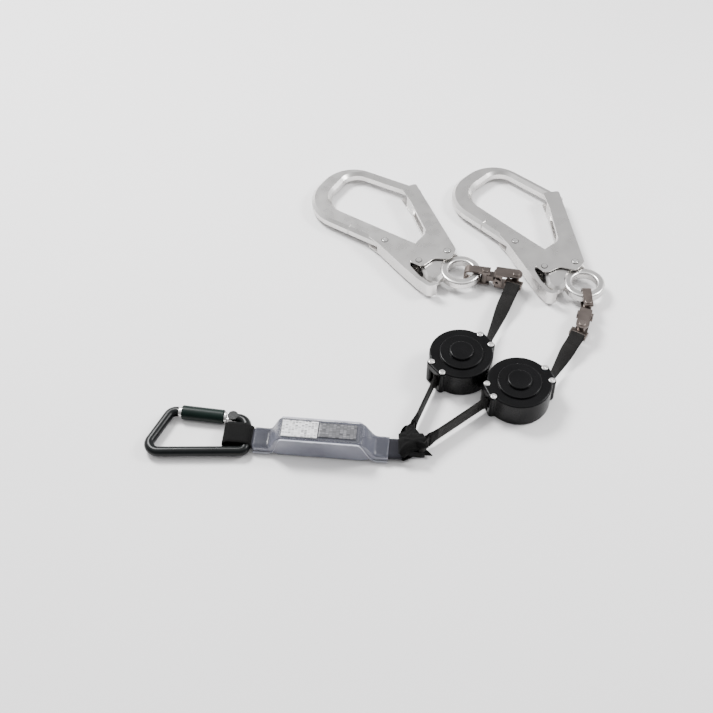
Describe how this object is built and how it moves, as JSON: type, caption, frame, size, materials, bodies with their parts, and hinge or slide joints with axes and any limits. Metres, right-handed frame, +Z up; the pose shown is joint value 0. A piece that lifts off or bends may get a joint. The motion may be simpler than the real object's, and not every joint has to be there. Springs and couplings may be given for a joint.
{
  "type": "twin leg self retracting lanyard",
  "caption": "Fall-arrest lanyard: a carabiner and shock absorber joined by short legs to round self-retracting reels, each with a strap, swivel and large scaffold hook.",
  "frame": {"origin": "centre of the plan box on the surface that the lanyard lies on", "axes": "+X along the absorber, from the carabiner end towards the reels; +Y towards the hooks; +Z up"},
  "size_m": [0.5019, 0.4431, 0.035],
  "materials": {
    "hook_aluminium": "satin forged and brushed aluminium",
    "connector_steel": "plated pressed steel, warm grey",
    "pin_steel": "zinc-plated steel",
    "black_steel": "black coated round bar, satin",
    "green_sleeve": "dark green moulded plastic",
    "reel_plastic": "black glass-filled plastic, matte",
    "drum_plastic": "grey moulded plastic",
    "black_webbing": "black woven polyester webbing",
    "strap_webbing": "dark grey tightly woven high-modulus webbing",
    "shrink_cover": "smoky translucent shrink cover",
    "label": "blank white printed label"
  },
  "bodies": {
    "root": {"absorber_cover": "shrink_cover", "absorber_webbing": "black_webbing", "absorber_front_loop": "black_webbing", "absorber_loop_guard": "black_webbing", "absorber_label": "label", "joint_loop": "black_webbing"},
    "carabiner": {"carabiner_body": "black_steel", "carabiner_pin": "black_steel"},
    "carabiner_gate": {"carabiner_gate": "pin_steel"},
    "carabiner_sleeve": {"carabiner_sleeve": "green_sleeve"},
    "leg_1": {"leg_1": "black_webbing", "keeper_1": "black_webbing"},
    "reel_1": {"reel_1_base": "reel_plastic", "reel_1_cover": "reel_plastic", "reel_1_screws": "pin_steel", "reel_1_anchor_pin": "pin_steel", "reel_1_rollers": "pin_steel", "reel_1_shaft": "pin_steel", "reel_1_ratchet": "pin_steel", "reel_1_spring": "pin_steel"},
    "drum_1": {"reel_1_drum": "drum_plastic", "reel_1_webbing_coil": "strap_webbing"},
    "pawl_1": {"reel_1_pawl": "pin_steel"},
    "strap_1": {"strap_1": "strap_webbing"},
    "holder_1": {"connector_1_holder": "connector_steel"},
    "bracket_1": {"connector_1_bracket": "connector_steel", "connector_1_bracket_rivet": "connector_steel", "connector_1_cross_rivet": "connector_steel"},
    "link_1": {"connector_1_link": "connector_steel"},
    "bail_1": {"connector_1_bail": "connector_steel", "connector_1_bail_rivet": "connector_steel"},
    "hook_1": {"hook_1_body": "hook_aluminium", "hook_1_pins": "pin_steel"},
    "hook_gate_1": {"hook_1_gate": "hook_aluminium"},
    "hook_lever_1": {"hook_1_lever": "hook_aluminium"},
    "leg_2": {"leg_2": "black_webbing", "keeper_2": "black_webbing"},
    "reel_2": {"reel_2_base": "reel_plastic", "reel_2_cover": "reel_plastic", "reel_2_screws": "pin_steel", "reel_2_anchor_pin": "pin_steel", "reel_2_rollers": "pin_steel", "reel_2_shaft": "pin_steel", "reel_2_ratchet": "pin_steel", "reel_2_spring": "pin_steel"},
    "drum_2": {"reel_2_drum": "drum_plastic", "reel_2_webbing_coil": "strap_webbing"},
    "pawl_2": {"reel_2_pawl": "pin_steel"},
    "strap_2": {"strap_2": "strap_webbing"},
    "holder_2": {"connector_2_holder": "connector_steel"},
    "bracket_2": {"connector_2_bracket": "connector_steel", "connector_2_bracket_rivet": "connector_steel", "connector_2_cross_rivet": "connector_steel"},
    "link_2": {"connector_2_link": "connector_steel"},
    "bail_2": {"connector_2_bail": "connector_steel", "connector_2_bail_rivet": "connector_steel"},
    "hook_2": {"hook_2_body": "hook_aluminium", "hook_2_pins": "pin_steel"},
    "hook_gate_2": {"hook_2_gate": "hook_aluminium"},
    "hook_lever_2": {"hook_2_lever": "hook_aluminium"}
  },
  "joints": [
    {"name": "carabiner_swing", "type": "hinge", "parent": "root", "child": "carabiner", "pos_m": [-0.1476, -0.1938, 0.0075], "axis": [0, 1, 0], "range_deg": [-90, 90]},
    {"name": "carabiner_gate_open", "type": "hinge", "parent": "carabiner", "child": "carabiner_gate", "pos_m": [-0.16195, -0.16831, 0.0075], "axis": [0, 0, 1], "range_deg": [0, 22], "stiffness_Nm_per_rad": 0.08, "springref_deg": -20.05},
    {"name": "carabiner_sleeve_twist", "type": "hinge", "parent": "carabiner_gate", "child": "carabiner_sleeve", "pos_m": [-0.19163, -0.16398, 0.0075], "axis": [-0.9895, 0.1444, 0], "range_deg": [0, 90], "stiffness_Nm_per_rad": 0.01, "springref_deg": -28.65},
    {"name": "leg_swing_1", "type": "hinge", "parent": "root", "child": "leg_1", "pos_m": [0.0219, -0.1923, 0.013], "axis": [0, 0, 1], "range_deg": [0, 40]},
    {"name": "reel_swing_1", "type": "hinge", "parent": "leg_1", "child": "reel_1", "pos_m": [0.05272, -0.11671, 0.013], "axis": [0, 0, 1], "range_deg": [0, 30]},
    {"name": "strap_payout_1", "type": "slide", "parent": "reel_1", "child": "strap_1", "axis": [0.2335, 0.5696, 0.788], "range_m": [0, 1.15], "stiffness_N_per_m": 4, "springref_m": -1.5, "deforming": ["strap_1"]},
    {"name": "drum_spin_1", "type": "hinge", "parent": "reel_1", "child": "drum_1", "pos_m": [0.0791, -0.0979, 0.013], "axis": [0, 0, 1], "range_deg": [0, 4320]},
    {"name": "pawl_flick_1", "type": "hinge", "parent": "drum_1", "child": "pawl_1", "pos_m": [0.09457, -0.08687, 0.025], "axis": [0, 0, -1], "range_deg": [0, 12], "stiffness_Nm_per_rad": 0.002, "springref_deg": -17.19},
    {"name": "holder_tilt_1", "type": "hinge", "parent": "strap_1", "child": "holder_1", "pos_m": [0.14542, 0.01679, 0.013], "axis": [0.9253, -0.3793, 0], "range_deg": [-30, 30]},
    {"name": "bracket_swivel_1", "type": "hinge", "parent": "holder_1", "child": "bracket_1", "pos_m": [0.1494, 0.0265, 0.013], "axis": [0, 0, 1], "range_deg": [0, 20]},
    {"name": "link_tilt_1", "type": "hinge", "parent": "bracket_1", "child": "link_1", "pos_m": [0.12876, 0.0304, 0.013], "axis": [0.1857, 0.9826, 0], "range_deg": [-35, 35]},
    {"name": "bail_swivel_1", "type": "hinge", "parent": "link_1", "child": "bail_1", "pos_m": [0.11471, 0.03305, 0.013], "axis": [0, 0, 1], "range_deg": [0, 15]},
    {"name": "hook_swing_1", "type": "hinge", "parent": "bail_1", "child": "hook_1", "pos_m": [0.08678, 0.03818, 0.013], "axis": [-0.0175, 0.0114, 0.9998], "range_deg": [0, 35]},
    {"name": "hook_gate_open_1", "type": "hinge", "parent": "hook_1", "child": "hook_gate_1", "pos_m": [0.07265, 0.0641, 0.01246], "axis": [-0.0175, 0.0114, 0.9998], "range_deg": [0, 20], "stiffness_Nm_per_rad": 0.4, "springref_deg": -17.19},
    {"name": "hook_lever_squeeze_1", "type": "hinge", "parent": "hook_1", "child": "hook_lever_1", "pos_m": [0.00033, 0.08499, 0.01095], "axis": [-0.0175, 0.0114, 0.9998], "range_deg": [0, 4.5], "stiffness_Nm_per_rad": 2, "springref_deg": -5.73},
    {"name": "leg_swing_2", "type": "hinge", "parent": "root", "child": "leg_2", "pos_m": [0.0334, -0.2068, 0.013], "axis": [0, 0, 1], "range_deg": [-40, 0]},
    {"name": "reel_swing_2", "type": "hinge", "parent": "leg_2", "child": "reel_2", "pos_m": [0.10721, -0.14809, 0.013], "axis": [0, 0, 1], "range_deg": [-14, 0]},
    {"name": "strap_payout_2", "type": "slide", "parent": "reel_2", "child": "strap_2", "axis": [0.5103, 0.86, 0], "range_m": [0, 1.15], "stiffness_N_per_m": 4, "springref_m": -1.5, "deforming": ["strap_2"]},
    {"name": "drum_spin_2", "type": "hinge", "parent": "reel_2", "child": "drum_2", "pos_m": [0.1379, -0.1377, 0.013], "axis": [0, 0, 1], "range_deg": [0, 4320]},
    {"name": "pawl_flick_2", "type": "hinge", "parent": "drum_2", "child": "pawl_2", "pos_m": [0.1559, -0.13161, 0.025], "axis": [0, 0, -1], "range_deg": [0, 12], "stiffness_Nm_per_rad": 0.002, "springref_deg": -17.19},
    {"name": "holder_tilt_2", "type": "hinge", "parent": "strap_2", "child": "holder_2", "pos_m": [0.21024, -0.05853, 0.013], "axis": [0.86, -0.5103, 0], "range_deg": [-30, 30]},
    {"name": "bracket_swivel_2", "type": "hinge", "parent": "holder_2", "child": "bracket_2", "pos_m": [0.2156, -0.0495, 0.013], "axis": [0, 0, 1], "range_deg": [-20, 0]},
    {"name": "link_tilt_2", "type": "hinge", "parent": "bracket_2", "child": "link_2", "pos_m": [0.22216, -0.02955, 0.013], "axis": [0.95, -0.3123, 0], "range_deg": [-35, 35]},
    {"name": "bail_swivel_2", "type": "hinge", "parent": "link_2", "child": "bail_2", "pos_m": [0.22662, -0.01597, 0.013], "axis": [0, 0, 1], "range_deg": [-15, 0]},
    {"name": "hook_swing_2", "type": "hinge", "parent": "bail_2", "child": "hook_2", "pos_m": [0.22704, 0.01803, 0.013], "axis": [-0.0145, 0.0151, 0.9998], "range_deg": [-35, 0]},
    {"name": "hook_gate_open_2", "type": "hinge", "parent": "hook_2", "child": "hook_gate_2", "pos_m": [0.2191, 0.04647, 0.01246], "axis": [-0.0145, 0.0151, 0.9998], "range_deg": [0, 20], "stiffness_Nm_per_rad": 0.4, "springref_deg": -17.19},
    {"name": "hook_lever_squeeze_2", "type": "hinge", "parent": "hook_2", "child": "hook_lever_2", "pos_m": [0.15334, 0.08308, 0.01095], "axis": [-0.0145, 0.0151, 0.9998], "range_deg": [0, 4.5], "stiffness_Nm_per_rad": 2, "springref_deg": -5.73}
  ],
  "couplings": [
    {"joint": "drum_spin_1", "follows": "strap_payout_1", "rad_per_m": 65.564},
    {"joint": "drum_spin_2", "follows": "strap_payout_2", "rad_per_m": 65.564}
  ]
}
